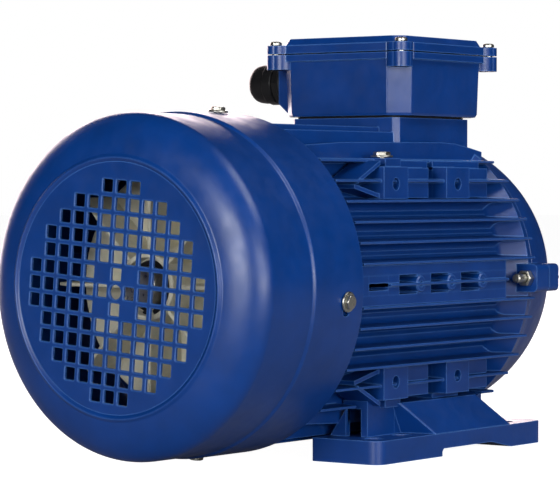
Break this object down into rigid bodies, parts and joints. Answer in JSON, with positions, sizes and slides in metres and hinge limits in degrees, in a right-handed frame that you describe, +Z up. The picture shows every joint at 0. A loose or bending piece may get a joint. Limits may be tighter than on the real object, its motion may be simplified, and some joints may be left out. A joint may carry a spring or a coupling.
{
  "type": "electric motor",
  "caption": "Foot-mounted, fan-cooled squirrel-cage induction motor with a top terminal box, a ribbed housing, a perforated fan cowl and a keyed cylindrical shaft end.",
  "frame": {"origin": "on the mounting plane under the shaft's axis, half way along the overall length", "axes": "+X along the shaft towards the drive end, +Y towards the cable gland, +Z up from the feet"},
  "size_m": [0.3522, 0.18, 0.2192],
  "materials": {
    "blue_paint": "semi-gloss gentian blue enamel over cast aluminium",
    "blue_cowl_paint": "semi-gloss gentian blue enamel over pressed sheet steel",
    "zinc_plate": "zinc-plated steel fasteners with a faint yellow passivation",
    "ground_steel": "ground and turned bright steel",
    "spring_steel": "blackened spring steel",
    "lamination_steel": "stacked electrical steel sheets",
    "cast_aluminium": "die-cast aluminium",
    "enamelled_copper": "enamelled copper wire, varnished and laced",
    "link_brass": "brass strip",
    "fan_plastic": "unpainted moulded nylon",
    "moulded_board": "brown thermoset moulding with brass studs",
    "black_nylon": "black moulded nylon",
    "seal_rubber": "black nitrile rubber",
    "gasket_sheet": "black gasket sheet"
  },
  "bodies": {
    "stator": {"housing": "blue_paint", "de_end_shield": "blue_paint", "nde_end_shield": "blue_paint", "fan_cowl": "blue_cowl_paint", "cowl_screw_1": "zinc_plate", "cowl_screw_2": "zinc_plate", "cowl_screw_3": "zinc_plate", "cowl_screw_4": "zinc_plate", "de_shield_bolt_1": "zinc_plate", "de_shield_bolt_2": "zinc_plate", "de_shield_bolt_3": "zinc_plate", "de_shield_bolt_4": "zinc_plate", "de_shield_nut_2": "zinc_plate", "de_shield_nut_3": "zinc_plate", "de_shield_nut_4": "zinc_plate", "nde_shield_bolt_1": "zinc_plate", "nde_shield_bolt_2": "zinc_plate", "nde_shield_bolt_3": "zinc_plate", "nde_shield_bolt_4": "zinc_plate", "stator_core": "lamination_steel", "stator_winding": "enamelled_copper", "de_bearing_outer_ring": "ground_steel", "nde_bearing_outer_ring": "ground_steel", "preload_wave_washer": "spring_steel", "de_shaft_seal": "seal_rubber", "nde_shaft_seal": "seal_rubber", "terminal_box": "blue_paint", "terminal_box_gasket": "gasket_sheet", "terminal_box_lid": "blue_paint", "lid_gasket": "gasket_sheet", "lid_screw_1": "zinc_plate", "lid_screw_2": "zinc_plate", "lid_screw_3": "zinc_plate", "lid_screw_4": "zinc_plate", "terminal_board": "moulded_board", "terminal_link_1": "link_brass", "terminal_link_2": "link_brass", "terminal_link_3": "link_brass", "box_earth_screw": "zinc_plate", "frame_earth_screw": "zinc_plate", "gland_body": "black_nylon", "gland_nut": "black_nylon", "gland_seal": "seal_rubber", "foot_right": "blue_paint", "foot_left": "blue_paint", "foot_bolt_1": "zinc_plate", "foot_bolt_2": "zinc_plate", "foot_bolt_3": "zinc_plate", "foot_bolt_4": "zinc_plate"},
    "rotor": {"shaft": "ground_steel", "shaft_key": "ground_steel", "rotor_core": "lamination_steel", "rotor_cage": "cast_aluminium", "de_bearing_inner_ring": "ground_steel", "nde_bearing_inner_ring": "ground_steel", "fan": "fan_plastic", "fan_circlip": "spring_steel"},
    "de_balls": {"de_bearing_ball_set": "ground_steel"},
    "nde_balls": {"nde_bearing_ball_set": "ground_steel"}
  },
  "joints": [
    {"name": "rotor_spin", "type": "hinge", "parent": "stator", "child": "rotor", "pos_m": [0, 0, 0.09], "axis": [1, 0, 0], "continuous": true},
    {"name": "de_ball_orbit", "type": "hinge", "parent": "stator", "child": "de_balls", "pos_m": [0.1119, 0, 0.09], "axis": [1, 0, 0], "continuous": true},
    {"name": "nde_ball_orbit", "type": "hinge", "parent": "stator", "child": "nde_balls", "pos_m": [-0.0859, 0, 0.09], "axis": [1, 0, 0], "continuous": true}
  ],
  "couplings": [
    {"joint": "de_ball_orbit", "follows": "rotor_spin", "ratio": 0.3969},
    {"joint": "nde_ball_orbit", "follows": "rotor_spin", "ratio": 0.3969}
  ]
}
